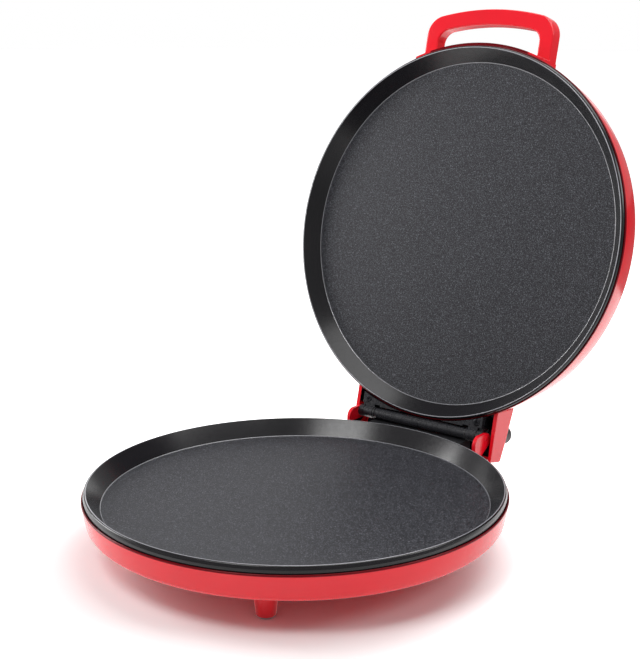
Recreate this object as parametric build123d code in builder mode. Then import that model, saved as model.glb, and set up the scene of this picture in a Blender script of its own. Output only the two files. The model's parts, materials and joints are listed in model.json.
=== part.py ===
from build123d import *
import math
import os

# Electric pizza maker, lid open on its stop. Millimetres, +Z up. The origin is the centre of the
# lower cooking floor, X runs to the right, +Y points back to the hinge, and the cord side is +X.

os.makedirs("parts", exist_ok=True)

# Both cooking pans
crest_radius = 165.0
pan_wall_run = 10.8
pan_depth = 14.2
pan_sheet = 2.0
lip_overhang = 2.3
skirt_sheet = 1.2
base_skirt_depth = 8.0
lid_skirt_depth = 10.0
lid_skirt_inset = 1.2
lip_taper_depth = 5.0

# Lower shell: overhang past the lip of the pan, depth down from its crest, and wall
shell_sheet = 1.0
base_rim_overhang = 1.8
base_rim_depth = 5.8
base_wall_run = 3.9
base_wall_height = 22.2
base_corner = 7.0

# Upper shell: overhang past the lip of the pan, depth outwards from its crest, wall and crown
lid_rim_overhang = 1.1
lid_rim_depth = 3.5
lid_wall_run = 4.4
lid_wall_height = 31.9
lid_crown_rise = 6.6
lid_corner = 9.0

# Hinge line, running along X behind the rim of the lower shell
hinge_setback = 4.5
rim_gap = 1.5
axis_lift = 3.06
open_angle = 103.36
pin_radius = 2.5
pin_edge = 0.4
running_fit = 0.06
barrel_radius = 4.8
barrel_half_length = 49.0
barrel_edge = 0.5
washer_thickness = 1.4
washer_radius = 5.2
knuckle_radius = 5.5
knuckle_length = 9.5
knuckle_gap = 0.6

# Stop sleeves and ears of the lower half
stop_radius = 5.5
stop_length = 5.0
stop_side_gap = 0.8
stop_gap = 0.4
stop_reach = 9.5
ear_thickness = 3.3
ear_radius = 6.4
ear_drop = 2.16
ear_front_run = 17.8
ear_root_run = 15.1
ear_corner = 8.0
ear_underside_angle = 32.4
ear_wall_top = 3.5
ear_wall_bottom = -9.5
ear_flange_run = 10.3
ear_flange_thickness = 3.0

# Block behind the lower shell, under the barrels
block_overhang = 1.0
block_reach = 5.4
block_bottom = -8.0
block_gap = 0.6
block_edge = 1.5

# Hinge plate of the upper half
plate_overhang = 3.9
plate_face_depth = 1.2
plate_thickness = 3.8
plate_edge_outer = 7.5
plate_edge_middle = 6.2
plate_middle_inset = 4.0
plate_rim_gap = 0.4
plate_screw_inset = 5.8
plate_screw_s = 11.8
plate_screw_sink = 1.7
plate_run = 30.0

# Hinge cover of the upper half. s runs from the hinge line to the lid centre, t outwards
cover_front_t = 3.0
cover_heel_s = -21.0
cover_heel_t = 20.5
cover_knee_s = -4.0
cover_knee_t = 25.0
cover_top_s = 25.0
cover_top_t = 30.5
cover_root = 11.0
cover_wall = 2.6
cheek_top = 3.6
cheek_heel = 2.6
cheek_gap = 2.3
slot_gap = 0.4
slot_top_s = 19.4
cover_edge = 2.0
cover_run_out = 1.0

# Cord gland on the back of the cover
gland_inset = 9.5
gland_s = 2.0
gland_radius = 8.0
gland_neck_radius = 5.0
gland_bore_radius = 3.4
gland_reach = 12.0
gland_inside = 4.0
gland_edge = 2.0

# Handle at the front of the lid
handle_half_width = 66.0
handle_stand = 34.8
handle_arch = 242.0
handle_corner = 18.0
handle_bar = 14.0
handle_leg = 13.5
handle_inner_corner = 11.5
handle_face_depth = 17.0
handle_thickness = 13.0
handle_edge = 1.6
handle_screw_angle = 20.0
strap_sheet = 1.8
strap_top_depth = 5.0

# Feet, set in from the foot of the lower shell's wall
foot_front_inset = 34.3
foot_front_angle = 31.0
foot_rear_inset = 18.2
foot_rear_angle = 25.0
foot_top_radius = 9.9
foot_bottom_radius = 7.4
foot_height = 25.0
foot_edge = 1.4
pad_radius = 5.8
pad_thickness = 2.0
pad_recess = 1.0

# Heating
heater_inset = 44.2
heater_tube_radius = 3.25
heater_gap_angle = 24.0
heater_pin_radius = 1.5
heater_pin_length = 12.0
shield_inset = 4.2
shield_hole_radius = 22.0
shield_sheet = 0.8
shield_gap = 0.7
clip_width = 8.0
clip_span = 14.0
clip_arc = 20.0
pan_clip_reach = 4.5
pan_clip_width = 14.0
pan_clip_height = 9.0
pan_clip_sheet = 2.0
terminal_pitch = 8.0
terminal_width = 14.0
terminal_height = 9.0
terminal_hole_radius = 2.0
terminal_hole_depth = 4.0
lid_terminal_y = 60.0
thermostat_radius = 9.0
thermostat_height = 8.0
thermostat_tab_length = 16.0
thermostat_tab_width = 6.0
thermostat_tab_sheet = 2.0
fuse_radius = 2.0
fuse_length = 18.0
fuse_x = -40.0
fuse_y = 20.0

# Lamps in the crown of the lid, set in from its shoulder
lens_inset = 40.0
lens_spread = 28.0
lens_radius = 3.9
lens_flange = 1.6
lens_flange_sheet = 2.0
lens_gap = 1.0
lens_stand = 1.2
lens_edge = 1.0
lamp_holder_height = 7.0
lamp_holder_corner = 2.0

# Fasteners
screw_radius = 2.0
screw_head_radius = 3.4
screw_head_height = 2.0
screw_head_edge = 0.8
screw_recess = 0.7
pan_screw_length = 8.0
foot_screw_length = 12.0
block_screw_length = 7.0
plate_screw_length = 10.0
handle_screw_length = 12.0
screw_run_out = 2.0
screw_clearance = 0.2
thread_clearance = 0.05
seat_gap = 0.1
head_gap = 0.25
boss_circle_radius = 75.0
boss_radius = 6.0
boss_spigot_radius = 4.0
cut_run = 4.0

# Values that follow from the sizes above
floor_radius = crest_radius - pan_wall_run
lip_radius = crest_radius + lip_overhang
lid_skirt_radius = lip_radius - lid_skirt_inset
floor_back = pan_depth + pan_sheet
shield_depth = floor_back + 2 * heater_tube_radius + shield_gap
base_rim_radius = lip_radius + base_rim_overhang
base_foot_radius = base_rim_radius - base_wall_run
base_bottom_depth = base_rim_depth + base_wall_height
base_bottom = pan_depth - base_bottom_depth
lid_rim_radius = lip_radius + lid_rim_overhang
lid_shoulder_radius = lid_rim_radius - lid_wall_run
lid_shoulder_depth = lid_rim_depth + lid_wall_height
lid_crown_depth = lid_shoulder_depth + lid_crown_rise
hinge_y = base_rim_radius + hinge_setback
hinge_z = pan_depth + rim_gap + axis_lift
open_sine = math.sin(math.radians(open_angle))
open_cosine = math.cos(math.radians(open_angle))
plate_back_depth = plate_face_depth + plate_thickness
clear_hole_radius = screw_radius + screw_clearance
thread_radius = screw_radius + thread_clearance
pan_wall_length = math.hypot(pan_wall_run, pan_depth)
base_wall_lean = math.atan2(base_wall_run, base_wall_height)
lid_wall_lean = math.atan2(lid_wall_run, lid_wall_height)
knuckle_start = barrel_half_length + washer_thickness + knuckle_gap
knuckle_end = knuckle_start + knuckle_length
stop_start = knuckle_end + stop_side_gap
ear_inner = stop_start + stop_length
ear_outer = ear_inner + ear_thickness
ear_flange_start = stop_start - ear_flange_run
block_half_width = barrel_half_length + block_overhang
block_back = hinge_y + block_reach
block_top = hinge_z - knuckle_radius - block_gap
plate_half_width = knuckle_end + plate_overhang
plate_middle_half_width = barrel_half_length - plate_middle_inset
plate_screw_x = plate_half_width - plate_screw_inset
slot_inner = plate_half_width + slot_gap
slot_outer = ear_outer + cheek_gap
cover_half_width = slot_outer + cheek_top
gland_x = cover_half_width - gland_inset
handle_reach = lid_rim_radius + handle_stand
strap_radius = lid_rim_radius + strap_sheet
heater_ring_radius = floor_radius - heater_inset
shield_radius = floor_radius - shield_inset
shield_back = shield_depth + shield_sheet
lens_y = lens_inset - lid_shoulder_radius

# Each rim plane lies on the crest of its pan, and its normal points out of the appliance
base_rim = Plane(origin=(0, 0, pan_depth), x_dir=(1, 0, 0), z_dir=(0, 0, -1))
lid_rim = Plane(
    origin=(
        0,
        hinge_y - axis_lift * open_sine - hinge_y * open_cosine,
        hinge_z - axis_lift * open_cosine + hinge_y * open_sine,
    ),
    x_dir=(1, 0, 0),
    z_dir=(0, open_sine, open_cosine),
)
hinge_side_of_base = -90
hinge_side_of_lid = 90


def save(piece, name):
    """Label one finished piece and write it."""
    piece.part.label = name
    export_step(piece.part, f"parts/{name}.step")


def place(rim, x, y, depth, turn=(0, 0, 0)):
    """Plane at a point given in a rim's own directions."""
    return Plane(rim.location * Location((x, y, depth), turn))


def half_section(rim):
    """Plane through a rim's axis: first coordinate is the radius, second the depth."""
    return Plane(origin=rim.origin, x_dir=rim.x_dir, z_dir=rim.x_dir.cross(rim.z_dir))


def lid_side(x):
    """Plane across the hinge line at x, facing -X: first coordinate is s, second is t."""
    return Plane(
        origin=(x, hinge_y, hinge_z),
        x_dir=(0, -open_cosine, open_sine),
        z_dir=(-1, 0, 0),
    )


def wall_plane(rim, degrees, radius, depth, lean, inset):
    """Plane on a shell's leaning wall, facing straight out through it and drawn in by inset."""
    angle = math.radians(degrees)
    centre = rim.from_local_coords((radius * math.cos(angle), radius * math.sin(angle), depth))
    radial = rim.x_dir * math.cos(angle) + rim.y_dir * math.sin(angle)
    outward = radial * math.cos(lean) + rim.z_dir * math.sin(lean)
    return Plane(origin=centre, x_dir=rim.z_dir.cross(radial), z_dir=outward).offset(-inset)


def bowl(rim, rim_radius, rim_depth, foot_radius, edge_depth, crown_depth, corner, growth, rise):
    """Solid inside the outer face of a shell, grown by growth and carried past its rim by rise."""
    top = rim_depth - rise
    wall_points = [(0, top), (rim_radius + growth, top)]
    if rise > 0:
        wall_points.append((rim_radius + growth, rim_depth))
    foot = (foot_radius + growth, edge_depth + growth)
    crown = (0, crown_depth + growth)
    halfway = (foot[0] / 2, foot[1] + (crown[1] - foot[1]) * 0.75)
    with BuildPart() as body:
        with BuildSketch(half_section(rim)) as profile:
            with BuildLine():
                Polyline(crown, *wall_points, foot)
                if crown_depth > edge_depth:
                    ThreePointArc(foot, halfway, crown)
                else:
                    Line(foot, crown)
            make_face()
            fillet(profile.vertices().sort_by_distance((foot[0], foot[1], 0))[0], corner + growth)
        revolve(axis=Axis(rim.origin, rim.z_dir))
    return body.part


def base_bowl(growth, rise=0.0):
    """Lower shell's outer form, grown by growth."""
    return bowl(
        base_rim, base_rim_radius, base_rim_depth, base_foot_radius, base_bottom_depth,
        base_bottom_depth, base_corner, growth, rise,
    )


def lid_bowl(growth, rise=0.0):
    """Upper shell's outer form, grown by growth."""
    return bowl(
        lid_rim, lid_rim_radius, lid_rim_depth, lid_shoulder_radius, lid_shoulder_depth,
        lid_crown_depth, lid_corner, growth, rise,
    )


def pan_disc(rim, skirt_radius, skirt_depth):
    """A pan: flat floor, sloping wall, sharp crest with a rounded lip, and a skirt behind it."""
    across = pan_depth / pan_wall_length
    along = pan_wall_run / pan_wall_length
    skirt_inner = skirt_radius - skirt_sheet
    floor_back_radius = floor_radius + pan_sheet * (1 - along) / across
    skirt_root = pan_depth + (pan_sheet - across * (skirt_inner - floor_radius)) / along
    lip_middle = lip_overhang * math.sin(math.radians(45))
    lip_end = [(lip_radius, lip_overhang)]
    if skirt_radius < lip_radius:
        lip_end.append((skirt_radius, lip_taper_depth))
    with BuildPart() as body:
        with BuildSketch(half_section(rim)):
            with BuildLine():
                Polyline((0, floor_back), (0, pan_depth), (floor_radius, pan_depth), (crest_radius, 0))
                ThreePointArc(
                    (crest_radius, 0),
                    (crest_radius + lip_middle, lip_overhang - lip_middle),
                    (lip_radius, lip_overhang),
                )
                Polyline(
                    *lip_end,
                    (skirt_radius, skirt_depth),
                    (skirt_inner, skirt_depth),
                    (skirt_inner, skirt_root),
                    (floor_back_radius, floor_back),
                    (0, floor_back),
                )
            make_face()
        revolve(axis=Axis(rim.origin, rim.z_dir))
    return body.part


def heater_ring(rim, gap_bearing, name):
    """Tubular heater lying on the back of a pan floor, its two ends on the hinge side."""
    tube_depth = floor_back + heater_tube_radius
    first = gap_bearing + heater_gap_angle / 2
    sweep_angle = 360 - heater_gap_angle
    start = place(rim, 0, 0, tube_depth, (0, 0, first))
    end = place(rim, 0, 0, tube_depth, (0, 0, first + sweep_angle))
    with BuildPart() as heater:
        with BuildSketch(half_section(start)):
            with Locations((heater_ring_radius, 0)):
                Circle(heater_tube_radius)
        revolve(axis=Axis(rim.origin, rim.z_dir), revolution_arc=sweep_angle)
        for tube_end, way in ((start, -1), (end, 1)):
            root = tube_end.from_local_coords((heater_ring_radius, 0, 0))
            with BuildSketch(Plane(origin=root, x_dir=rim.z_dir, z_dir=tube_end.y_dir * way)):
                Circle(heater_pin_radius)
            extrude(amount=heater_pin_length)
    save(heater, name)


def heat_shield(rim, boss_bearings, name):
    """Thin disc behind the heater with a round window in its middle."""
    with BuildPart() as shield:
        with BuildSketch(rim.offset(shield_depth)):
            Circle(shield_radius)
            Circle(shield_hole_radius, mode=Mode.SUBTRACT)
            for bearing in boss_bearings:
                with PolarLocations(boss_circle_radius, 1, bearing):
                    Circle(boss_spigot_radius + screw_clearance, mode=Mode.SUBTRACT)
        extrude(amount=shield_sheet)
    save(shield, name)


def heater_clip(rim, bearing, name):
    """Saddle that holds the heater tube against the pan floor."""
    seat = place(rim, 0, 0, floor_back, (0, 0, bearing))
    tube = half_section(place(rim, 0, 0, floor_back + heater_tube_radius, (0, 0, bearing - clip_arc / 2)))
    with BuildPart() as clip:
        with BuildSketch(seat):
            with Locations((heater_ring_radius, 0)):
                Rectangle(clip_span, clip_width)
        extrude(amount=shield_depth - floor_back - seat_gap)
        with BuildSketch(tube):
            with Locations((heater_ring_radius, 0)):
                Circle(heater_tube_radius + thread_clearance)
        revolve(axis=Axis(rim.origin, rim.z_dir), revolution_arc=clip_arc, mode=Mode.SUBTRACT)
    save(clip, name)


def screw(plane, length):
    """Pan-head screw: the head rests on the plane and the shank runs along its normal."""
    with BuildPart() as body:
        with BuildSketch(plane):
            Circle(screw_radius)
        extrude(amount=length)
        with BuildSketch(plane):
            Circle(screw_head_radius)
        extrude(amount=-screw_head_height)
        head_top = body.faces().sort_by(Axis(plane.origin, plane.z_dir))[0]
        fillet(head_top.edges(), screw_head_edge)
        with BuildSketch(plane.offset(-screw_head_height)):
            Rectangle(screw_head_radius, screw_recess)
            Rectangle(screw_recess, screw_head_radius)
        extrude(amount=screw_head_height / 2, mode=Mode.SUBTRACT)
    return body


def tube_along_x(x, length, radius, bore, name):
    """Plain sleeve on the hinge line."""
    with BuildPart() as sleeve:
        with BuildSketch(Plane(origin=(x, hinge_y, hinge_z), x_dir=(0, 1, 0), z_dir=(1, 0, 0))):
            Circle(radius)
            Circle(bore, mode=Mode.SUBTRACT)
        extrude(amount=length)
        if length > washer_thickness:
            outer_edges = sleeve.edges().filter_by(GeomType.CIRCLE).group_by(SortBy.RADIUS)[-1]
            chamfer(outer_edges, barrel_edge)
    save(sleeve, name)


def terminal_block(plane, poles, name):
    """Ceramic block standing on a plane, with one screw hole for each pole."""
    with BuildPart() as block:
        with BuildSketch(plane):
            Rectangle(poles * terminal_pitch, terminal_width)
        extrude(amount=terminal_height)
        with BuildSketch(plane.offset(terminal_height)):
            with GridLocations(terminal_pitch, 0, poles, 1):
                Circle(terminal_hole_radius)
        extrude(amount=-terminal_hole_depth, mode=Mode.SUBTRACT)
    save(block, name)


# Where the fasteners and feet stand
boss_bearings = (90, 210, 330)
pan_clip_bearings = (30, 150, 270)
feet = {
    "front_right": (foot_front_inset, -90 + foot_front_angle),
    "front_left": (foot_front_inset, -90 - foot_front_angle),
    "rear_right": (foot_rear_inset, 90 - foot_rear_angle),
    "rear_left": (foot_rear_inset, 90 + foot_rear_angle),
}
foot_centres = {}
for corner, (foot_inset, bearing) in feet.items():
    foot_radius = base_foot_radius - foot_inset
    angle = math.radians(bearing)
    foot_centres[corner] = (foot_radius * math.cos(angle), foot_radius * math.sin(angle))
ear_screw_x = (ear_flange_start + stop_start) / 2
ear_screw_z = (ear_wall_top + ear_wall_bottom) / 2
block_screw_x = block_half_width / 2
block_screw_z = 0.0


def back_wall_plane(x, z, inset):
    """Plane on the lower shell's rear wall, facing out through it and drawn in by inset."""
    depth = pan_depth - z
    wall_radius = base_rim_radius - math.tan(base_wall_lean) * (depth - base_rim_depth)
    bearing = math.degrees(math.asin(x / wall_radius))
    return wall_plane(base_rim, -90 + bearing, wall_radius, depth, base_wall_lean, inset)


# Lower half
with BuildPart() as base_shell:
    add(base_bowl(0))
    add(base_bowl(-shell_sheet, rise=cut_run), mode=Mode.SUBTRACT)
    with BuildSketch(Plane.XY.offset(base_bottom)):
        with Locations(*foot_centres.values()):
            Circle(clear_hole_radius)
        for bearing in boss_bearings:
            with PolarLocations(boss_circle_radius, 1, bearing):
                Circle(clear_hole_radius)
    extrude(amount=shell_sheet * 2, both=True, mode=Mode.SUBTRACT)
    for x, z in ((ear_screw_x, ear_screw_z), (block_screw_x, block_screw_z)):
        for side in (-1, 1):
            with BuildSketch(back_wall_plane(x * side, z, 0)):
                Circle(clear_hole_radius)
            extrude(amount=shell_sheet * 3, both=True, mode=Mode.SUBTRACT)
save(base_shell, "base_shell")

with BuildPart() as base_pan:
    add(pan_disc(base_rim, lip_radius, base_skirt_depth))
    for bearing in boss_bearings:
        with BuildSketch(Plane.XY.offset(pan_depth - floor_back)):
            with PolarLocations(boss_circle_radius, 1, bearing):
                Circle(boss_radius)
        extrude(amount=-(shield_depth - floor_back))
        with BuildSketch(Plane.XY.offset(pan_depth - shield_depth)):
            with PolarLocations(boss_circle_radius, 1, bearing):
                Circle(boss_spigot_radius)
        extrude(amount=-(base_bottom_depth - shell_sheet - shield_depth))
        with BuildSketch(Plane.XY.offset(base_bottom)):
            with PolarLocations(boss_circle_radius, 1, bearing):
                Circle(thread_radius)
        extrude(amount=base_bottom_depth - floor_back, mode=Mode.SUBTRACT)
save(base_pan, "base_pan")

heater_ring(base_rim, hinge_side_of_base, "base_heater")
# The rim plane of the lower half is turned over, so its bearings run the other way round
heat_shield(base_rim, [-bearing for bearing in boss_bearings], "base_heat_shield")
for count, turn in enumerate((90, 180, 270), start=1):
    heater_clip(base_rim, hinge_side_of_base + turn, f"base_heater_clip_{count}")

# Identical screws are one node with a solid for each
with BuildPart() as base_pan_screws:
    for bearing in boss_bearings:
        angle = math.radians(bearing)
        spot = (boss_circle_radius * math.cos(angle), boss_circle_radius * math.sin(angle), base_bottom)
        add(screw(Plane(origin=spot, z_dir=(0, 0, 1)), pan_screw_length).part)
save(base_pan_screws, "base_pan_screws")

terminal_block(Plane.XY.offset(base_bottom + shell_sheet), 3, "base_terminal_block")

foot_end = base_bottom - foot_height
for corner, (x, y) in foot_centres.items():
    with BuildPart() as foot:
        with BuildSketch(Plane.XY.offset(base_bottom)):
            with Locations((x, y)):
                Circle(foot_top_radius)
        with BuildSketch(Plane.XY.offset(foot_end)):
            with Locations((x, y)):
                Circle(foot_bottom_radius)
        loft()
        fillet(foot.edges().group_by(Axis.Z)[0], foot_edge)
        with BuildSketch(Plane.XY.offset(foot_end)):
            with Locations((x, y)):
                Circle(pad_radius)
        extrude(amount=pad_recess, mode=Mode.SUBTRACT)
        with BuildSketch(Plane.XY.offset(base_bottom)):
            with Locations((x, y)):
                Circle(thread_radius)
        extrude(amount=-(foot_screw_length + screw_run_out), mode=Mode.SUBTRACT)
    save(foot, f"foot_{corner}")

    with BuildPart() as foot_pad:
        with BuildSketch(Plane.XY.offset(foot_end + pad_recess)):
            with Locations((x, y)):
                Circle(pad_radius - thread_clearance)
        extrude(amount=-pad_thickness)
    save(foot_pad, f"foot_pad_{corner}")

with BuildPart() as foot_screws:
    for x, y in foot_centres.values():
        inner_floor = Plane(origin=(x, y, base_bottom + shell_sheet), z_dir=(0, 0, -1))
        add(screw(inner_floor, foot_screw_length).part)
save(foot_screws, "foot_screws")

# Hinge pieces carried by the lower half
with BuildPart() as hinge_block:
    with BuildSketch(Plane.XY.offset(block_bottom)):
        with Locations((0, block_back / 2)):
            Rectangle(block_half_width * 2, block_back)
    extrude(amount=block_top - block_bottom)
    add(base_bowl(seat_gap, rise=block_top), mode=Mode.SUBTRACT)
    rear_edges = hinge_block.edges().filter_by(Axis.X).group_by(Axis.Y)[-1]
    fillet(rear_edges, block_edge)
    for side in (-1, 1):
        with BuildSketch(back_wall_plane(block_screw_x * side, block_screw_z, 0)):
            Circle(thread_radius)
        extrude(amount=block_screw_length, mode=Mode.SUBTRACT)
save(hinge_block, "hinge_block")

ear_front_y = hinge_y - ear_front_run
ear_root_y = hinge_y - ear_root_run
ear_centre_z = hinge_z - ear_drop
ear_top_z = ear_centre_z + ear_radius
ear_lean = math.radians(ear_underside_angle)
under_y = hinge_y + ear_radius * math.sin(ear_lean)
under_z = ear_centre_z - ear_radius * math.cos(ear_lean)
root_z = under_z - (under_y - ear_root_y) * math.tan(ear_lean)
for side, word in ((-1, "left"), (1, "right")):
    with BuildPart() as ear:
        # Plate that stands on the shell wall and holds the pin, its front corner rounded
        with BuildSketch(Plane.YZ.offset(side * ear_inner)) as outline:
            with BuildLine():
                Polyline(
                    (ear_front_y, ear_wall_bottom),
                    (ear_front_y, ear_top_z),
                    (hinge_y, ear_top_z),
                    (under_y, under_z),
                    (ear_root_y, root_z),
                    (ear_root_y, ear_wall_bottom),
                    close=True,
                )
            make_face()
            front_corner = (ear_front_y, ear_top_z, 0)
            fillet(outline.vertices().sort_by_distance(front_corner)[0], ear_corner)
            with Locations((hinge_y, ear_centre_z)):
                Circle(ear_radius)
        extrude(amount=side * ear_thickness)
        # Flange along the wall
        with BuildSketch(Plane.XY.offset(ear_wall_bottom)):
            Circle(base_rim_radius + ear_flange_thickness)
            with Locations((side * (ear_flange_start + ear_outer) / 2, hinge_y)):
                Rectangle(ear_outer - ear_flange_start, hinge_y, mode=Mode.INTERSECT)
        extrude(amount=ear_wall_top - ear_wall_bottom)
        add(base_bowl(seat_gap, rise=block_top), mode=Mode.SUBTRACT)
        with BuildSketch(Plane.YZ.offset(side * ear_inner)):
            with Locations((hinge_y, hinge_z)):
                Circle(pin_radius + thread_clearance)
        extrude(amount=side * ear_thickness, mode=Mode.SUBTRACT)
        with BuildSketch(back_wall_plane(ear_screw_x * side, ear_screw_z, 0)):
            Circle(thread_radius)
        extrude(amount=ear_flange_thickness * 2, mode=Mode.SUBTRACT)
    save(ear, f"hinge_ear_{word}")

    with BuildPart() as hinge_stop:
        with BuildSketch(Plane.YZ.offset(side * stop_start)):
            with Locations((hinge_y, hinge_z)):
                Circle(stop_radius)
        extrude(amount=side * stop_length)
        # Lug that the hinge cover comes to rest against
        with BuildSketch(lid_side(side * stop_start)):
            Rectangle(plate_edge_outer - stop_gap, stop_reach, align=(Align.MIN, Align.MIN))
        extrude(amount=-side * (slot_inner - stop_start))
        with BuildSketch(Plane.YZ.offset(side * stop_start)):
            with Locations((hinge_y, hinge_z)):
                Circle(pin_radius + thread_clearance)
        extrude(amount=side * stop_length, mode=Mode.SUBTRACT)
    save(hinge_stop, f"hinge_stop_{word}")

    tube_along_x(min(0, side * barrel_half_length), barrel_half_length, barrel_radius,
                 pin_radius + running_fit, f"hinge_barrel_{word}")
    washer_from = barrel_half_length if side > 0 else -barrel_half_length - washer_thickness
    tube_along_x(washer_from, washer_thickness, washer_radius,
                 pin_radius + running_fit, f"hinge_washer_{word}")
    ear_seat = back_wall_plane(ear_screw_x * side, ear_screw_z, shell_sheet + head_gap)
    save(screw(ear_seat, ear_flange_thickness + shell_sheet), f"ear_screw_{word}")
    block_seat = back_wall_plane(block_screw_x * side, block_screw_z, shell_sheet + head_gap)
    save(screw(block_seat, block_screw_length), f"block_screw_{word}")

with BuildPart() as hinge_pin:
    with BuildSketch(Plane.YZ.offset(-ear_outer + seat_gap)):
        with Locations((hinge_y, hinge_z)):
            Circle(pin_radius)
    extrude(amount=2 * (ear_outer - seat_gap))
    chamfer(hinge_pin.edges().filter_by(GeomType.CIRCLE), pin_edge)
save(hinge_pin, "hinge_pin")

# Upper half
lens_places = {"power": -lens_spread / 2, "ready": lens_spread / 2}
handle_screw_depth = handle_face_depth + handle_thickness / 2
lid_wall_radius = lid_rim_radius - math.tan(lid_wall_lean) * (handle_screw_depth - lid_rim_depth)


def front_wall_plane(side, inset):
    """Plane on the upper shell's front wall at a handle screw, facing out through it."""
    bearing = -90 + side * handle_screw_angle
    return wall_plane(lid_rim, bearing, lid_wall_radius, handle_screw_depth, lid_wall_lean, inset)


with BuildPart() as lid_shell:
    add(lid_bowl(0))
    add(lid_bowl(-shell_sheet, rise=cut_run), mode=Mode.SUBTRACT)
    with BuildSketch(lid_rim.offset(floor_back)):
        with Locations(*[(x, lens_y) for x in lens_places.values()]):
            Circle(lens_radius + screw_clearance)
    extrude(amount=lid_crown_depth, mode=Mode.SUBTRACT)
    for side in (-1, 1):
        with BuildSketch(front_wall_plane(side, 0)):
            Circle(clear_hole_radius)
        extrude(amount=shell_sheet * 3, both=True, mode=Mode.SUBTRACT)
save(lid_shell, "lid_shell")

with BuildPart() as lid_pan:
    add(pan_disc(lid_rim, lid_skirt_radius, lid_skirt_depth))
save(lid_pan, "lid_pan")

heater_ring(lid_rim, hinge_side_of_lid, "lid_heater")
heat_shield(lid_rim, [], "lid_heat_shield")
for count, turn in enumerate((90, 180, 270), start=1):
    heater_clip(lid_rim, hinge_side_of_lid + turn, f"lid_heater_clip_{count}")

# Clips that hold the upper pan's skirt inside the shell
for count, bearing in enumerate(pan_clip_bearings, start=1):
    with BuildPart() as pan_clip:
        with BuildSketch(place(lid_rim, 0, 0, lid_skirt_depth, (0, 0, bearing))):
            with Locations((lid_skirt_radius, 0)):
                Rectangle(2 * pan_clip_reach, pan_clip_width)
        extrude(amount=pan_clip_height)
        add(lid_bowl(-shell_sheet - seat_gap, rise=cut_run), mode=Mode.INTERSECT)
        with BuildSketch(place(lid_rim, 0, 0, lid_skirt_depth + pan_clip_sheet, (0, 0, bearing))):
            with Locations((lid_skirt_radius - pan_clip_reach - pan_clip_sheet, 0)):
                Rectangle(2 * pan_clip_reach, 2 * pan_clip_width)
        extrude(amount=pan_clip_height, mode=Mode.SUBTRACT)
    save(pan_clip, f"lid_pan_clip_{count}")

with BuildPart() as lid_handle:
    with BuildSketch(lid_rim.offset(handle_face_depth)) as bar:
        with Locations((0, handle_arch - handle_reach)):
            Circle(handle_arch)
        with Locations((0, -handle_reach)):
            Rectangle(2 * handle_half_width, 2 * handle_leg + handle_reach / 2, mode=Mode.INTERSECT)
        corners = bar.vertices().sort_by(Axis.Y)[:2]
        fillet(corners, handle_corner)
    extrude(amount=handle_thickness)
    with BuildSketch(lid_rim.offset(handle_face_depth)) as opening:
        with Locations((0, handle_arch - handle_reach)):
            Circle(handle_arch - handle_bar)
        with Locations((0, -handle_reach)):
            Rectangle(
                2 * (handle_half_width - handle_leg), 3 * handle_leg + handle_reach / 2,
                mode=Mode.INTERSECT,
            )
        inner_corners = opening.vertices().sort_by(Axis.Y)[:2]
        fillet(inner_corners, handle_inner_corner)
    extrude(amount=handle_thickness, mode=Mode.SUBTRACT)
    flat_edges = lid_handle.faces().filter_by(lid_rim).edges()
    fillet(flat_edges, handle_edge)
    # Strap that lies along the wall of the shell
    with BuildSketch(lid_rim.offset(strap_top_depth)):
        Circle(strap_radius)
        with Locations((0, -strap_radius)):
            Rectangle(2 * handle_half_width, strap_radius, mode=Mode.INTERSECT)
    extrude(amount=handle_face_depth + handle_thickness - strap_top_depth)
    add(lid_bowl(seat_gap, rise=cut_run), mode=Mode.SUBTRACT)
    for side in (-1, 1):
        with BuildSketch(front_wall_plane(side, 0)):
            Circle(thread_radius)
        extrude(amount=handle_screw_length, mode=Mode.SUBTRACT)
save(lid_handle, "lid_handle")

for side, word in ((-1, "left"), (1, "right")):
    seat = front_wall_plane(side, shell_sheet + head_gap)
    save(screw(seat, handle_screw_length), f"handle_screw_{word}")


def cover_block(from_x, to_x, inset, heel_run=0.0):
    """The hinge cover's outer form between two x, drawn in from its back and run past its heel."""
    steep = (cover_top_t - cover_knee_t) / (cover_top_s - cover_knee_s)
    heel_slope = (cover_knee_t - cover_heel_t) / (cover_knee_s - cover_heel_s)
    front_t = plate_back_depth - axis_lift
    far_s = cover_top_s + cover_root
    with BuildPart() as body:
        with BuildSketch(lid_side(to_x)):
            with BuildLine():
                Polyline(
                    (cover_heel_s - heel_run, front_t - heel_run),
                    (far_s, front_t - heel_run),
                    (far_s, cover_top_t + cover_root * steep - inset),
                    (cover_knee_s, cover_knee_t - inset),
                    (cover_heel_s - heel_run, cover_heel_t - inset - heel_run * heel_slope),
                    close=True,
                )
            make_face()
        extrude(amount=to_x - from_x)
    return body.part


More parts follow.
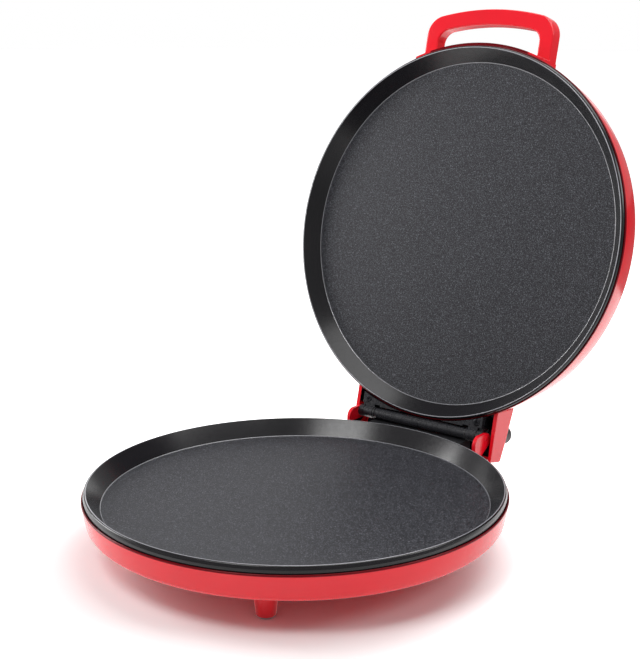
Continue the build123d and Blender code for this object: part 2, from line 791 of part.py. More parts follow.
plate_edge_y = hinge_y - plate_edge_outer
heel_y = hinge_y - cover_heel_s
slot_end_radius = (slot_outer - slot_inner) / 2
with BuildPart() as hinge_cover:
    add(cover_block(-cover_half_width, cover_half_width, 0))
    outer_edges = []
    for edge in hinge_cover.faces().filter_by(Axis.X).edges() + hinge_cover.edges().filter_by(Axis.X):
        middle = lid_rim.to_local_coords(edge.center())
        if middle.Z > cover_heel_t / 2 + axis_lift and middle.Y > plate_edge_y:
            outer_edges.append(edge)
    fillet(outer_edges, cover_edge)
    # Cheeks stand back from the face of the plate
    with BuildSketch(lid_rim.offset(plate_face_depth)):
        for side in (-1, 1):
            with Locations((side * cover_half_width, hinge_y)):
                Rectangle(2 * (cover_half_width - slot_inner), hinge_y / 2)
    extrude(amount=cover_front_t + axis_lift - plate_face_depth, mode=Mode.SUBTRACT)
    # Hollow that the barrels, knuckles and ears turn in, open to the front and at the heel
    with BuildSketch(lid_rim.offset(-cover_wall)):
        with BuildLine():
            Polyline(
                (-cover_half_width + cheek_heel, heel_y + cover_run_out),
                (cover_half_width - cheek_heel, heel_y + cover_run_out),
                (slot_outer, plate_edge_y),
                (-slot_outer, plate_edge_y),
                close=True,
            )
        make_face()
        for side in (-1, 1):
            slot_x = side * (slot_inner + slot_outer) / 2
            with Locations((slot_x, hinge_y - slot_top_s / 2)):
                Rectangle(2 * slot_end_radius, slot_top_s - 2 * slot_end_radius)
            with Locations((slot_x, hinge_y - slot_top_s + slot_end_radius)):
                Circle(slot_end_radius)
    hollow = extrude(amount=2 * cover_top_t, mode=Mode.PRIVATE)
    heel_run = cover_wall + cover_run_out
    hollow = hollow & cover_block(-cover_half_width, cover_half_width, cover_wall, heel_run)
    add(hollow, mode=Mode.SUBTRACT)
    add(lid_bowl(seat_gap, rise=cut_run), mode=Mode.SUBTRACT)
    for side in (-1, 1):
        with BuildSketch(place(lid_rim, side * plate_screw_x, hinge_y - plate_screw_s, plate_back_depth)):
            Circle(thread_radius)
        extrude(amount=plate_screw_length, mode=Mode.SUBTRACT)
    with BuildSketch(place(lid_rim, gland_x, hinge_y - gland_s, cover_heel_t / 2 + axis_lift)):
        Circle(gland_neck_radius + thread_clearance)
    extrude(amount=cover_top_t, mode=Mode.SUBTRACT)
save(hinge_cover, "hinge_cover")

for side, word in ((-1, "left"), (1, "right")):
    knuckle_low = min(side * knuckle_start, side * knuckle_end)
    knuckle_length = knuckle_end - knuckle_start
    screw_face = place(lid_rim, side * plate_screw_x, hinge_y - plate_screw_s, plate_face_depth)
    with BuildPart() as hinge_plate:
        with BuildSketch(lid_rim.offset(plate_face_depth)):
            with Locations((side * plate_half_width / 2, plate_edge_y)):
                Rectangle(plate_half_width, plate_run, align=(Align.CENTER, Align.MAX))
            with Locations((side * plate_middle_half_width / 2, hinge_y - plate_edge_middle)):
                Rectangle(plate_middle_half_width, plate_run, align=(Align.CENTER, Align.MAX))
            # Web of the knuckle
            with Locations((side * (knuckle_start + knuckle_end) / 2, hinge_y)):
                Rectangle(knuckle_length, plate_run, align=(Align.CENTER, Align.MAX))
        extrude(amount=plate_thickness)
        add(lid_bowl(plate_rim_gap, rise=cut_run), mode=Mode.SUBTRACT)
        with BuildSketch(Plane.YZ.offset(knuckle_low)):
            with Locations((hinge_y, hinge_z)):
                Circle(knuckle_radius)
        extrude(amount=knuckle_length)
        with BuildSketch(Plane.YZ.offset(knuckle_low)):
            with Locations((hinge_y, hinge_z)):
                Circle(pin_radius + running_fit)
        extrude(amount=knuckle_length, mode=Mode.SUBTRACT)
        with BuildSketch(screw_face):
            Circle(screw_head_radius + thread_clearance)
        extrude(amount=plate_screw_sink, mode=Mode.SUBTRACT)
        with BuildSketch(screw_face):
            Circle(clear_hole_radius)
        extrude(amount=plate_thickness, mode=Mode.SUBTRACT)
    save(hinge_plate, f"hinge_plate_{word}")
    save(screw(screw_face.offset(plate_screw_sink), plate_screw_length), f"plate_screw_{word}")

with BuildPart() as cord_gland:
    gland_from = cover_knee_t + axis_lift
    with BuildSketch(place(lid_rim, gland_x, hinge_y - gland_s, gland_from - cover_wall)):
        Circle(gland_radius)
    extrude(amount=gland_reach + cover_wall)
    fillet(cord_gland.edges().sort_by(Axis(lid_rim.origin, lid_rim.z_dir))[-1], gland_edge)
    add(cover_block(-cover_half_width, cover_half_width, -seat_gap), mode=Mode.SUBTRACT)
    with BuildSketch(place(lid_rim, gland_x, hinge_y - gland_s, gland_from - cover_wall - gland_inside)):
        Circle(gland_neck_radius)
    extrude(amount=gland_inside + cover_wall + gland_reach / 2)
    with BuildSketch(place(lid_rim, gland_x, hinge_y - gland_s, 0)):
        Circle(gland_bore_radius)
    extrude(amount=lid_rim_radius / 2, mode=Mode.SUBTRACT)
save(cord_gland, "cord_gland")

# Lamps in the crown of the lid, near the handle
crown_drop = lid_crown_rise * (lens_y / lid_shoulder_radius) ** 2
lens_seat = lid_crown_depth - crown_drop - shell_sheet - lens_gap
for word, x in lens_places.items():
    with BuildPart() as lens:
        with BuildSketch(place(lid_rim, x, lens_y, lens_seat - lens_flange_sheet)):
            Circle(lens_radius + lens_flange)
        extrude(amount=lens_flange_sheet)
        with BuildSketch(place(lid_rim, x, lens_y, lens_seat)):
            Circle(lens_radius)
        extrude(amount=lens_gap + shell_sheet + lens_stand)
        fillet(lens.edges().sort_by(Axis(lid_rim.origin, lid_rim.z_dir))[-1], lens_edge)
    save(lens, f"{word}_lens")

with BuildPart() as lamp_holder:
    with BuildSketch(place(lid_rim, 0, lens_y, lens_seat - lens_flange_sheet - lamp_holder_height)):
        RectangleRounded(lens_spread + 4 * lens_radius, 4 * lens_radius, lamp_holder_corner)
    extrude(amount=lamp_holder_height)
save(lamp_holder, "lamp_holder")

with BuildPart() as thermostat:
    with BuildSketch(lid_rim.offset(floor_back)):
        Circle(thermostat_radius)
    extrude(amount=thermostat_height)
    with BuildSketch(lid_rim.offset(floor_back + thermostat_height)):
        Rectangle(thermostat_tab_length, thermostat_tab_width)
    extrude(amount=thermostat_tab_sheet)
save(thermostat, "thermostat")

with BuildPart() as thermal_fuse:
    with BuildSketch(place(lid_rim, fuse_x, fuse_y, shield_back + fuse_radius, (0, 90, 0))):
        Circle(fuse_radius)
    extrude(amount=fuse_length)
save(thermal_fuse, "thermal_fuse")

terminal_block(place(lid_rim, 0, lid_terminal_y, shield_back), 4, "lid_terminal_block")
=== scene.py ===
import json
import math

import bmesh
import bpy
from mathutils import Matrix, Vector


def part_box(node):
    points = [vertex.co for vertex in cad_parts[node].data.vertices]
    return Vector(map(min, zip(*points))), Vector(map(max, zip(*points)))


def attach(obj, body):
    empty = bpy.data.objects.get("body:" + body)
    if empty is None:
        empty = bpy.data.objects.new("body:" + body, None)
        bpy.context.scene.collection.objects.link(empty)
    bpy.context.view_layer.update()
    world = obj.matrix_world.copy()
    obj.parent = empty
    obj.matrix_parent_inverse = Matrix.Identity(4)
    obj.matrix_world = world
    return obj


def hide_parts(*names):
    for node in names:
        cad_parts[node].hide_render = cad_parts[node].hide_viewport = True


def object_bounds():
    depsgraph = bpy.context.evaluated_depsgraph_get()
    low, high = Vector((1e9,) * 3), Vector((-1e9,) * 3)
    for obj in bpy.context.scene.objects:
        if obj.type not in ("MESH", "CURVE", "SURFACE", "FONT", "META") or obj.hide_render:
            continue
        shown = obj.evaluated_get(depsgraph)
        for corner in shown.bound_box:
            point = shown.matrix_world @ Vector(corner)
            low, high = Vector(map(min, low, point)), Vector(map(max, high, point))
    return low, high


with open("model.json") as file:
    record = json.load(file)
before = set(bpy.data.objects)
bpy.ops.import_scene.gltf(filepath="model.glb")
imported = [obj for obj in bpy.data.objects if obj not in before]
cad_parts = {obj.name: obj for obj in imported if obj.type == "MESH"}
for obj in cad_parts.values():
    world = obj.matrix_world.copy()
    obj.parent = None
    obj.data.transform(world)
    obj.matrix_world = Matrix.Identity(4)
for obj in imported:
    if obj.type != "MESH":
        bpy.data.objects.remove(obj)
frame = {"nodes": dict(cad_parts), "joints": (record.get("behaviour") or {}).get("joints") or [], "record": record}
cad_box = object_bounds()
nodes = frame["nodes"]
hinge = frame["joints"][0]

# The open lid: one direction runs from the hinge line to the lid's centre, the other out of its back
HINGE = Vector(hinge["pos_m"])
OPEN_ANGLE = math.radians(hinge["range_deg"][1])
ALONG_LID = Vector((0, -math.cos(OPEN_ANGLE), math.sin(OPEN_ANGLE)))
OUT_OF_LID = Vector((0, math.sin(OPEN_ANGLE), math.cos(OPEN_ANGLE)))
ACROSS = Vector((1, 0, 0))
BACK = Vector((0, 1, 0))
UP = Vector((0, 0, 1))

# Pan sizes, in metres
MM = 0.001
CREST_RADIUS = 165.0 * MM
FLOOR_RADIUS = 154.2 * MM
PAN_DEPTH = 14.2 * MM
PAN_SHEET = 2.0 * MM
LIP_DROP = 2.3 * MM
LIP_INSET = 0.02 * MM
SKIRT_SHEET = 1.2 * MM
BASE_SKIRT_DEPTH = 8.0 * MM
LID_SKIRT_DEPTH = 10.0 * MM
LID_SKIRT_STEP = 1.2 * MM
AXIS_LIFT = 3.06 * MM

# Shell sizes: pairs of radius and depth, the depth measured out from the crest of each pan
SHEET = 1.0 * MM
BASE_RIM = (169.1 * MM, 5.8 * MM)
BASE_FOOT = (165.2 * MM, 28.0 * MM)
BASE_CORNER = 7.0 * MM
BASE_ROLL = 1.6 * MM
LID_RIM = (168.4 * MM, 3.5 * MM)
LID_SHOULDER = (164.0 * MM, 35.4 * MM)
LID_CROWN = 42.0 * MM
LID_CORNER = 9.0 * MM
LID_ROLL = 1.4 * MM

# Depth down to which the rounded crest of each pan is painted a pale highlight line
BASE_CREST_HIGHLIGHT = 0.2 * MM
LID_CREST_HIGHLIGHT = 0.3 * MM

# Each rim matrix takes radius, sideways and depth to the frame, depth running out of the appliance
lid_centre = HINGE - OUT_OF_LID * AXIS_LIFT + ALONG_LID * HINGE.y
base_rim = Matrix(((1, 0, 0, 0), (0, -1, 0, 0), (0, 0, -1, PAN_DEPTH), (0, 0, 0, 1)))
lid_rim = Matrix(
    (
        (1, 0, 0, 0),
        (0, -ALONG_LID.y, OUT_OF_LID.y, lid_centre.y),
        (0, -ALONG_LID.z, OUT_OF_LID.z, lid_centre.z),
        (0, 0, 0, 1),
    )
)


# Node trees
NOISE_SHIFT = (0.13 * MM, 0.27 * MM, 0.41 * MM)


def srgb(red, green, blue):
    """Linear colour of an sRGB colour given from 0 to 255."""
    def linear(value):
        value /= 255
        return value / 12.92 if value <= 0.04045 else ((value + 0.055) / 1.055) ** 2.4
    return (linear(red), linear(green), linear(blue), 1.0)


def shaded(colour, share):
    """A share of a linear colour."""
    return tuple(channel * share for channel in colour[:3]) + (1.0,)


class Nodes:
    """Builds the node tree of a material or of the world. Values are outputs or plain numbers."""

    def __init__(self, tree, coordinates):
        self.tree = tree
        self.place = self.node("ShaderNodeTexCoord").outputs[coordinates]

    def node(self, kind, **settings):
        made = self.tree.nodes.new(kind)
        for key, value in settings.items():
            setattr(made, key, value)
        return made

    def feed(self, value, socket):
        """Link an output to a socket, or set the socket to a plain value."""
        if isinstance(value, bpy.types.NodeSocket):
            self.tree.links.new(value, socket)
        else:
            socket.default_value = value

    def maths(self, operation, first, second=0.0):
        made = self.node("ShaderNodeMath", operation=operation)
        self.feed(first, made.inputs[0])
        self.feed(second, made.inputs[1])
        return made.outputs["Value"]

    def mix(self, factor, first, second):
        """Blend of two numbers."""
        made = self.node("ShaderNodeMix")
        for index, value in ((0, factor), (2, first), (3, second)):
            self.feed(value, made.inputs[index])
        return made.outputs[0]

    def mix_colour(self, factor, first, second):
        """Blend of two colours."""
        made = self.node("ShaderNodeMix", data_type="RGBA")
        for index, value in ((0, factor), (6, first), (7, second)):
            self.feed(value, made.inputs[index])
        return made.outputs[2]

    def span(self, source, low, high, to_low, to_high, interpolation="LINEAR"):
        """Value that goes from one level to another while the source goes from low to high."""
        made = self.node("ShaderNodeMapRange", interpolation_type=interpolation)
        self.feed(source, made.inputs["Value"])
        for name, value in (("From Min", low), ("From Max", high), ("To Min", to_low), ("To Max", to_high)):
            self.feed(value, made.inputs[name])
        return made.outputs["Result"]

    def along(self, direction, start=0.0):
        """Distance along a direction from a start."""
        dot = self.node("ShaderNodeVectorMath", operation="DOT_PRODUCT")
        self.feed(self.place, dot.inputs[0])
        self.feed(direction, dot.inputs[1])
        return self.maths("SUBTRACT", dot.outputs["Value"], start)

    def smooth_along(self, direction, low, high, to_low, to_high):
        """Value that changes softly along a direction between two distances."""
        return self.span(self.along(direction), low, high, to_low, to_high, "SMOOTHSTEP")

    def by_ray(self, seen_by_camera, seen_in_gloss, otherwise):
        """Level that differs for camera rays, reflections and everything else."""
        rays = self.node("ShaderNodeLightPath").outputs
        mirrored = self.mix(rays["Is Glossy Ray"], otherwise, seen_in_gloss)
        return self.mix(rays["Is Camera Ray"], mirrored, seen_by_camera)


class Shader(Nodes):
    """A material under construction, with its Principled shader."""

    def __init__(self, name):
        self.material = bpy.data.materials.new(name)
        self.material.use_nodes = True
        super().__init__(self.material.node_tree, "Object")
        self.surface = self.tree.nodes["Principled BSDF"].inputs

    def noise(self, scale, detail, roughness=0.5):
        """Noise, shifted so that no flat face at a round coordinate lies in a plane of its lattice."""
        shift = self.node("ShaderNodeVectorMath", operation="ADD")
        self.feed(self.place, shift.inputs[0])
        self.feed(NOISE_SHIFT, shift.inputs[1])
        made = self.node("ShaderNodeTexNoise")
        self.feed(shift.outputs["Vector"], made.inputs["Vector"])
        for name, value in (("Scale", scale), ("Detail", detail), ("Roughness", roughness)):
            self.feed(value, made.inputs[name])
        return made.outputs["Fac"]

    def ramp(self, source, *stops):
        """Colour that follows a source through stops of position and colour."""
        made = self.node("ShaderNodeValToRGB")
        elements = made.color_ramp.elements
        while len(elements) < len(stops):
            elements.new(0.5)
        for element, (position, colour) in zip(elements, stops):
            element.position = position
            element.color = colour
        self.feed(source, made.inputs["Fac"])
        return made.outputs["Color"]

    def depth(self, rim):
        """Depth out of the appliance from the crest of a rim."""
        out = rim.to_3x3() @ UP
        return self.along(out, out.dot(rim.translation))

    def bump(self, height, strength, distance, rounding=0.0):
        """Bumps of a height, and edges softened by a radius."""
        made = self.node("ShaderNodeBump")
        for name, value in (("Strength", strength), ("Distance", distance), ("Height", height)):
            self.feed(value, made.inputs[name])
        if rounding:
            soft_edge = self.node("ShaderNodeBevel", samples=6)
            self.feed(rounding, soft_edge.inputs["Radius"])
            self.feed(soft_edge.outputs["Normal"], made.inputs["Normal"])
        self.feed(made.outputs["Normal"], self.surface["Normal"])


# Finishes


def red_gloss(name, colour, roughness, rounding, mask=None, masked=None, shine=0.5):
    """Glossy red finish with a faint orange peel; where the mask is 1, a second, darker colour with less shine,
    used as painted shade on rims, strap and hinge hollow, and as black on the ears.
    """
    masked_shine = 0.12
    deep_share = 0.86
    made = Shader(name)
    cloud = made.noise(9.0, 3.0)
    paint = made.ramp(cloud, (0.25, shaded(colour, deep_share)), (0.7, colour))
    # Painted shade: where the mask is 1 the colour turns darker and the shine drops
    if mask:
        cover = mask(made)
        paint = made.mix_colour(cover, paint, masked)
        shine = made.span(cover, 0.0, 1.0, shine, masked_shine)
    made.feed(paint, made.surface["Base Color"])
    made.feed(shine, made.surface["Specular IOR Level"])
    uneven = made.span(made.noise(60.0, 4.0), 0.3, 0.7, roughness * 0.85, roughness * 1.25)
    made.feed(uneven, made.surface["Roughness"])
    orange_peel = made.noise(900.0, 1.0)
    made.bump(orange_peel, 0.05, 0.4 * MM, rounding)
    return made.material


def nonstick(name, rim, highlight_depth):
    """Black non-stick coating: satin wall, speckled floor, pale painted highlight lines on the polished crest and
    crease.
    """
    highlight_grey = srgb(176, 176, 182)
    crest_highlight_share = 0.8
    crease_highlight_share = 0.4
    wall_shine = 0.42
    floor_shine = 0.27
    polished_shine = 0.9
    polished_roughness = 0.12
    wall_bump = 0.04
    line_fade = 0.12 * MM
    made = Shader(name)
    depth = made.depth(rim)

    # Masks by depth: the floor, the crest, the crease at the foot of the wall
    floor = made.span(depth, PAN_DEPTH - 0.45 * MM, PAN_DEPTH - 0.35 * MM, 0.0, 1.0)
    crest = made.span(depth, 0.15 * MM, 0.35 * MM, 1.0, 0.0)
    below_wall = made.span(depth, PAN_DEPTH - 0.5 * MM, PAN_DEPTH - 0.42 * MM, 0.0, 1.0)
    above_floor = made.span(depth, PAN_DEPTH - 0.08 * MM, PAN_DEPTH - 0.03 * MM, 1.0, 0.0)
    crease = made.maths("MULTIPLY", below_wall, above_floor)
    polished = made.maths("MAXIMUM", crest, crease)
    crest_highlight_mask = made.span(depth, highlight_depth, highlight_depth + line_fade, 1.0, 0.0)

    # Colour
    speck = made.noise(1250.0, 2.0)
    grain = made.noise(520.0, 2.0, 0.6)
    cloud = made.noise(14.0, 2.0)
    speckled = made.ramp(
        speck,
        (0.36, srgb(20, 20, 23)),
        (0.50, srgb(41, 41, 46)),
        (0.62, srgb(76, 77, 83)),
        (0.72, srgb(108, 109, 116)),
    )
    floor_colour = made.mix_colour(made.span(grain, 0.35, 0.65, 0.0, 0.3), speckled, srgb(34, 34, 38))
    wall_colour = made.ramp(cloud, (0.3, srgb(21, 20, 23)), (0.7, srgb(25, 24, 27)))
    coated = made.mix_colour(floor, wall_colour, floor_colour)
    # Painted highlight: pale grey mixed into the colour along the crest, and more faintly along the crease
    line = made.maths("MAXIMUM", crest_highlight_mask, made.maths("MULTIPLY", crease, crease_highlight_share))
    with_highlight = made.mix_colour(made.maths("MULTIPLY", line, crest_highlight_share), coated, highlight_grey)
    made.feed(with_highlight, made.surface["Base Color"])

    # Gloss
    rough_floor = made.span(speck, 0.35, 0.65, 0.42, 0.62)
    rough_wall = made.span(made.noise(300.0, 3.0), 0.3, 0.7, 0.19, 0.24)
    roughness = made.mix(polished, made.mix(floor, rough_wall, rough_floor), polished_roughness)
    made.feed(roughness, made.surface["Roughness"])
    wall_or_floor_shine = made.span(floor, 0.0, 1.0, wall_shine, floor_shine)
    shine = made.maths("ADD", wall_or_floor_shine, made.maths("MULTIPLY", polished, polished_shine))
    made.feed(shine, made.surface["Specular IOR Level"])

    height = made.maths("MULTIPLY", speck, made.span(floor, 0.0, 1.0, wall_bump, 1.0))
    made.bump(height, 0.55, 0.3 * MM)
    return made.material


def plain(name, colour, roughness, metallic=0.0):
    """Finish of a small piece: fine grain in its colour, roughness and surface."""
    made = Shader(name)
    texture = made.noise(400.0, 3.0)
    made.feed(made.ramp(texture, (0.3, shaded(colour, 0.75)), (0.65, colour)), made.surface["Base Color"])
    uneven = made.span(texture, 0.3, 0.7, roughness * 0.8, roughness * 1.2)
    made.feed(uneven, made.surface["Roughness"])
    made.feed(metallic, made.surface["Metallic"])
    made.bump(texture, 0.15, 0.2 * MM, 0.4 * MM)
    return made.material


def rim_line(rim, depth):
    """Mask of the shaded line along a shell's rim."""
    def mask(made):
        return made.span(made.depth(rim), depth + 1.2 * MM, depth + 1.9 * MM, 1.0, 0.0)
    return mask


def hollow_shade_mask(made):
    """Mask of the hollow in the front of the hinge cover, painted black as shade."""
    cheek_start = 71.9 * MM
    back_lean = 0.2
    back_face = 23.6 * MM
    heel = -18.4 * MM
    fade = 0.1 * MM
    sideways = made.maths("ABSOLUTE", made.along(ACROSS))
    between_cheeks = made.span(sideways, cheek_start, cheek_start + fade / 2, 1.0, 0.0)
    inward = OUT_OF_LID - ALONG_LID * back_lean
    front = made.span(made.along(inward, inward.dot(HINGE)), back_face, back_face + fade, 1.0, 0.0)
    above_heel = made.span(made.along(ALONG_LID, ALONG_LID.dot(HINGE)), heel, heel + fade, 0.0, 1.0)
    return made.maths("MULTIPLY", made.maths("MULTIPLY", between_cheeks, front), above_heel)


def ear_flange(made):
    """Mask of the flange of an ear and the lower part of the inner face beside it."""
    flange_end = 66.0 * MM
    face_end = 66.4 * MM
    face_top = 11.4 * MM
    sideways = made.maths("ABSOLUTE", made.along(ACROSS))
    flange = made.span(sideways, flange_end, flange_end + 0.1 * MM, 1.0, 0.0)
    face = made.span(sideways, face_end, face_end + 0.05 * MM, 1.0, 0.0)
    low = made.span(made.along(UP), face_top, face_top + 0.2 * MM, 1.0, 0.0)
    return made.maths("MAXIMUM", flange, made.maths("MULTIPLY", face, low))


def strap_shade(made):
    """Mask of the shaded front edge of the handle's strap between its legs."""
    leg_start = 50.0 * MM
    front_depth = 6.0 * MM
    sideways = made.maths("ABSOLUTE", made.along(ACROSS))
    between_legs = made.span(sideways, leg_start, leg_start + 2.0 * MM, 1.0, 0.0)
    front = made.span(made.depth(lid_rim), front_depth, front_depth + 1.0 * MM, 1.0, 0.0)
    return made.maths("MULTIPLY", between_legs, front)


RED = srgb(236, 14, 34)
PLASTIC_RED = srgb(236, 18, 38)
RIM_SHADE = srgb(104, 6, 16)
SOFT_BLACK = srgb(24, 23, 26)
PLASTIC_EDGE = 0.8 * MM
HANDLE_EDGE = 0.9 * MM
# Painted shade: the shell rim lines, the strap's front edge and the hinge cover's hollow take a darker colour with
# less shine
base_enamel = red_gloss("base_enamel", RED, 0.16, 0.0, rim_line(base_rim, BASE_RIM[1]), RIM_SHADE)
lid_enamel = red_gloss("lid_enamel", RED, 0.13, 0.0, rim_line(lid_rim, LID_RIM[1]), RIM_SHADE, 0.34)
red_plastic = red_gloss("red_plastic", PLASTIC_RED, 0.20, PLASTIC_EDGE)
cover_plastic = red_gloss("cover_plastic", PLASTIC_RED, 0.20, PLASTIC_EDGE, hollow_shade_mask, SOFT_BLACK)
ear_plastic = red_gloss("ear_plastic", PLASTIC_RED, 0.20, PLASTIC_EDGE, ear_flange, SOFT_BLACK)
handle_plastic = red_gloss("handle_plastic", PLASTIC_RED, 0.18, HANDLE_EDGE, strap_shade, RIM_SHADE)
base_coating = nonstick("base_nonstick", base_rim, BASE_CREST_HIGHLIGHT)
lid_coating = nonstick("lid_nonstick", lid_rim, LID_CREST_HIGHLIGHT)

slot_finishes = {
    "red_enamel": base_enamel,
    "red_plastic": red_plastic,
    "nonstick": base_coating,
    "black_metal": plain("black_metal", srgb(36, 36, 40), 0.28),
    "black_plastic": plain("black_plastic", srgb(34, 34, 37), 0.42),
    "black_rubber": plain("black_rubber", srgb(40, 40, 43), 0.55),
    "grey_rubber": plain("grey_rubber", srgb(150, 146, 146), 0.75),
    "black_screw": plain("black_screw", srgb(46, 46, 50), 0.30, 0.8),
    "steel": plain("steel", srgb(196, 197, 200), 0.28, 1.0),
    "shield_aluminium": plain("shield_metal", srgb(205, 206, 208), 0.35, 1.0),
    "ceramic": plain("ceramic", srgb(226, 222, 210), 0.35),
    "fuse_sleeve": plain("sleeve", srgb(218, 214, 196), 0.7),
    "red_lens": plain("red_lens", srgb(200, 30, 20), 0.12),
    "green_lens": plain("green_lens", srgb(40, 150, 50), 0.12),
}
own_finishes = {
    "hinge_cover": cover_plastic,
    "hinge_ear_left": ear_plastic,
    "hinge_ear_right": ear_plastic,
    "hinge_pin": red_plastic,
    "lid_handle": handle_plastic,
}
for subpart in frame["record"]["subparts"]:
    data = nodes[subpart["node"]].data
    data.materials.clear()
    data.materials.append(own_finishes.get(subpart["node"], slot_finishes[subpart["material_slot"]]))


# Mesh helpers


def rounded(corners, steps=6):
    """Outline through (radius, depth, corner radius) points with its corners rounded by arcs."""
    outline = []
    count = len(corners)
    for index, (x, y, size) in enumerate(corners):
        here = Vector((x, y))
        if size <= 0:
            outline.append(here)
            continue
        before = Vector(corners[index - 1][:2])
        after = Vector(corners[(index + 1) % count][:2])
        to_before = (before - here).normalized()
        to_after = (after - here).normalized()
        half = to_before.angle(to_after) / 2
        reach = size / math.tan(half)
        centre = here + (to_before + to_after).normalized() * (size / math.sin(half))
        start = here + to_before * reach - centre
        end = here + to_after * reach - centre
        sweep = start.angle_signed(end)
        for step in range(steps + 1):
            turn = Matrix.Rotation(-sweep * step / steps, 2)
            outline.append(centre + turn @ start)
    return outline


def lathe(outline, rim, segments=288):
    """Solid of revolution of a closed outline about a rim's depth axis. Points at radius 0 are shared."""
    mesh = bmesh.new()
    rings = []
    for point in outline:
        if point.x < 1e-6:
            rings.append([mesh.verts.new(rim @ Vector((0, 0, point.y)))])
            continue
        ring = []
        for step in range(segments):
            angle = 2 * math.pi * step / segments
            place = Vector((point.x * math.cos(angle), point.x * math.sin(angle), point.y))
            ring.append(mesh.verts.new(rim @ place))
        rings.append(ring)
    for index, ring in enumerate(rings):
        following = rings[(index + 1) % len(rings)]
        if len(ring) == 1 and len(following) == 1:
            continue
        for step in range(segments):
            corners = [
                ring[step % len(ring)],
                ring[(step + 1) % len(ring)],
                following[(step + 1) % len(following)],
                following[step % len(following)],
            ]
            unique = list(dict.fromkeys(corners))
            mesh.faces.new(unique)
    return mesh


def add_turned(name, outline, rim, material, body, replaced):
    """Piece turned from an outline, which rides on a body and stands for a solid."""
    sharp_angle = math.radians(35)
    mesh = lathe(outline, rim)
    bmesh.ops.recalc_face_normals(mesh, faces=mesh.faces)
    data = bpy.data.meshes.new(name)
    mesh.to_mesh(data)
    mesh.free()
    data.shade_smooth()
    data.set_sharp_from_angle(angle=sharp_angle)
    data.materials.append(material)
    piece = bpy.data.objects.new(name, data)
    bpy.context.scene.collection.objects.link(piece)
    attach(piece, body)
    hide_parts(replaced)


# Pans


def pan_outline(lip, skirt_radius, skirt_depth):
    """Closed outline of a pan: floor, wall, crest, lip points, skirt and the backs of all three."""
    wall = math.hypot(CREST_RADIUS - FLOOR_RADIUS, PAN_DEPTH)
    across = PAN_DEPTH / wall
    along = (CREST_RADIUS - FLOOR_RADIUS) / wall
    skirt_inner = skirt_radius - SKIRT_SHEET
    back_radius = FLOOR_RADIUS + PAN_SHEET * (1 - along) / across
    skirt_root = PAN_DEPTH + (PAN_SHEET - across * (skirt_inner - FLOOR_RADIUS)) / along
    back = PAN_DEPTH + PAN_SHEET
    return rounded(
        [
            (0, PAN_DEPTH, 0),
            (FLOOR_RADIUS * 0.5, PAN_DEPTH, 0),
            (FLOOR_RADIUS, PAN_DEPTH, 1.2 * MM),
            (CREST_RADIUS, 0, 0.8 * MM),
            *lip,
            (skirt_radius, skirt_depth, 0.3 * MM),
            (skirt_inner, skirt_depth, 0.3 * MM),
            (skirt_inner, skirt_root, 0.5 * MM),
            (back_radius, back, 2.0 * MM),
            (0, back, 0),
        ]
    )


lip_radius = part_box("base_pan")[1].x
base_skirt_radius = lip_radius - LIP_INSET
lid_skirt_radius = lip_radius - LID_SKIRT_STEP
base_lip = [
    (CREST_RADIUS + 1.6 * MM, LIP_DROP - 1.6 * MM, 1.2 * MM),
    (base_skirt_radius, LIP_DROP + 0.8 * MM, 0.8 * MM),
]
lid_lip = [
    (CREST_RADIUS + 1.5 * MM, LIP_DROP - 1.3 * MM, 1.2 * MM),
    (lip_radius - LIP_INSET, LIP_DROP + 0.1 * MM, 0.25 * MM),
    (lid_skirt_radius, LIP_DROP + 1.5 * MM, 0.8 * MM),
]
base_pan = pan_outline(base_lip, base_skirt_radius, BASE_SKIRT_DEPTH)
lid_pan = pan_outline(lid_lip, lid_skirt_radius, LID_SKIRT_DEPTH)
add_turned("lower_cooking_pan", base_pan, base_rim, base_coating, "base", "base_pan")
add_turned("upper_cooking_pan", lid_pan, lid_rim, lid_coating, "lid", "lid_pan")


# Shells


def shell_outline(rim, foot, crown, corner, roll):
    """Closed outline of a shell: rolled rim, leaning wall, corner and crown."""
    inner_rim = rim[0] - roll
    inner_foot = foot[0] - SHEET
    steps = 12
    crown_points = []
    for step in range(1, steps + 1):
        radius = foot[0] * (1 - step / steps)
        depth = crown - (crown - foot[1]) * (radius / foot[0]) ** 2
        crown_points.append((radius, depth, 0))
    outline = [(inner_rim, rim[1], roll * 0.45), (rim[0], rim[1], roll * 0.55)]
    outline.append((foot[0], foot[1], corner))
    outline += crown_points
    outline += [(radius, depth - SHEET, 0) for radius, depth, size in reversed(crown_points)]
    outline.append((inner_foot, foot[1] - SHEET, corner - SHEET))
    outline.append((rim[0] - SHEET - 0.2 * MM, rim[1] + 3.0 * MM, 0.5 * MM))
    return rounded(outline)


base_shell = shell_outline(BASE_RIM, BASE_FOOT, BASE_FOOT[1], BASE_CORNER, BASE_ROLL)
lid_shell = shell_outline(LID_RIM, LID_SHOULDER, LID_CROWN, LID_CORNER, LID_ROLL)
add_turned("lower_shell", base_shell, base_rim, base_enamel, "base", "base_shell")
add_turned("upper_shell", lid_shell, lid_rim, lid_enamel, "lid", "lid_shell")


# Camera fitted to the photograph, which is 640 by 659 pixels
CAMERA_PLACE = Vector((0.60726, -0.71373, 0.35779))
CAMERA_BACK = Vector((0.615263, -0.754223, 0.229343))
FOCAL_PIXELS = 1242.44
PHOTO_HEIGHT = 659
SENSOR = 36.0
camera_data = bpy.data.cameras.new("camera")
camera_data.sensor_fit = "AUTO"
camera_data.sensor_width = SENSOR
camera_data.lens = FOCAL_PIXELS * SENSOR / PHOTO_HEIGHT
camera_data.clip_start = 0.05
camera = bpy.data.objects.new("camera", camera_data)
bpy.context.scene.collection.objects.link(camera)
camera.location = CAMERA_PLACE
camera.rotation_euler = CAMERA_BACK.to_track_quat("Z", "Y").to_euler()
bpy.context.scene.camera = camera


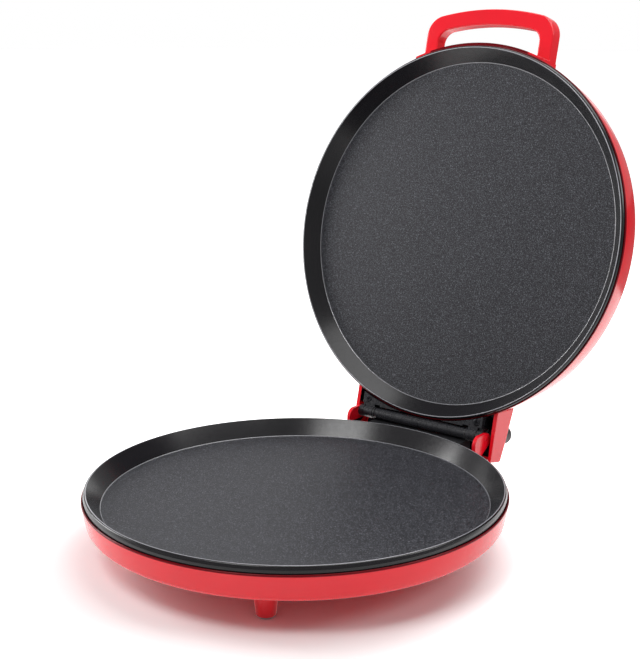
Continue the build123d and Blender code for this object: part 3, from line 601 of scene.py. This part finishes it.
# Floor, world and lamps
WHITE = (1, 1, 1, 1)
FLOOR_LEVEL = cad_box[0][2]
FLOOR_GAP = 0.2 * MM
FLOOR_HALF_SIZE = 30.0
FLOOR_MIDDLE = (0.0, -0.06, FLOOR_LEVEL)
FRONT_RIGHT = Vector((0.6, -0.8, 0))
BACK_LEFT = Vector((-0.79, 0.615, 0)).normalized()
LAMP_AIM = Vector((0.0, 0.08, 0.12))

# Name, bearing and rise in degrees, distance and size in metres, power in watts
LAMPS = (
    ("overhead", 80, 70, 1.6, (1.5, 1.5), 20.0),
    ("key", -93, 54, 1.7, (0.7, 0.6), 11.5),
    ("left", -160, 17, 1.5, (0.6, 0.8), 14.0),
    ("right", 20, 30, 1.6, (0.5, 0.5), 5.0),
)


def floor_material():
    """White ground that keeps the shadow, and that reflections see as a table with an edge."""
    shade = 0.88
    shadow_reach = 0.15
    white_reach = 0.26
    white_lift = 0.8
    table_edge = 0.80
    shade_past_edge = 0.3
    shade_at_front = 0.25
    dim_glow = 0.2
    full_glow = 1.0
    made = Shader("floor")
    made.feed(0.6, made.surface["Roughness"])
    made.feed(0.1, made.surface["Specular IOR Level"])
    made.feed(WHITE, made.surface["Emission Color"])

    # Seen by the camera, the ground turns white around the shadow
    reach = made.node("ShaderNodeVectorMath", operation="DISTANCE")
    made.feed(made.place, reach.inputs[0])
    made.feed(FLOOR_MIDDLE, reach.inputs[1])
    lift = made.span(reach.outputs["Value"], shadow_reach, white_reach, 0.0, white_lift, "SMOOTHSTEP")

    # Seen in a reflection, it is darker at the front right and past the edge, and glows at the back
    on_table = made.smooth_along(BACK, table_edge - 0.02, table_edge + 0.02, 1.0, 0.0)
    front = made.smooth_along(FRONT_RIGHT, 0.2, 0.36, shade, shade_at_front)
    mirrored = made.mix(on_table, shade_past_edge, front)
    glow = made.maths("MULTIPLY", on_table, made.smooth_along(BACK, -0.15, 0.35, dim_glow, full_glow))

    made.feed(made.by_ray(shade, mirrored, shade), made.surface["Base Color"])
    made.feed(made.by_ray(lift, glow, 0.0), made.surface["Emission Strength"])
    return made.material


def make_floor():
    level = FLOOR_LEVEL - FLOOR_GAP
    signs = ((-1, -1), (1, -1), (1, 1), (-1, 1))
    corners = [(x * FLOOR_HALF_SIZE, y * FLOOR_HALF_SIZE, level) for x, y in signs]
    data = bpy.data.meshes.new("floor")
    data.from_pydata(corners, [], [(0, 1, 2, 3)])
    data.materials.append(floor_material())
    floor = bpy.data.objects.new("floor", data)
    bpy.context.scene.collection.objects.link(floor)


def make_world():
    """White background, darker in most reflections and for the light on the appliance."""
    white = 1.0
    dim_mirror = 0.35
    light = 0.33
    world = bpy.data.worlds.new("world")
    bpy.context.scene.world = world
    world.use_nodes = True
    made = Nodes(world.node_tree, "Generated")
    background = world.node_tree.nodes["Background"].inputs
    made.feed(WHITE, background["Color"])
    mirrored = made.smooth_along(BACK_LEFT, 0.77, 0.82, dim_mirror, white)
    made.feed(made.by_ray(white, mirrored, light), background["Strength"])


def make_lamp(name, bearing, rise, distance, size, power):
    """Softbox in a direction from the middle of the appliance."""
    around = math.radians(bearing)
    upward = math.radians(rise)
    level_way = Vector((math.cos(around), math.sin(around), 0))
    way = level_way * math.cos(upward) + UP * math.sin(upward)
    data = bpy.data.lights.new(name, "AREA")
    data.shape = "RECTANGLE"
    data.size, data.size_y = size
    data.energy = power
    lamp = bpy.data.objects.new(name, data)
    bpy.context.scene.collection.objects.link(lamp)
    lamp.location = LAMP_AIM + way * distance
    lamp.rotation_euler = way.to_track_quat("Z", "Y").to_euler()


make_floor()
make_world()
for lamp_values in LAMPS:
    make_lamp(*lamp_values)

bpy.context.scene.view_settings.view_transform = "Standard"
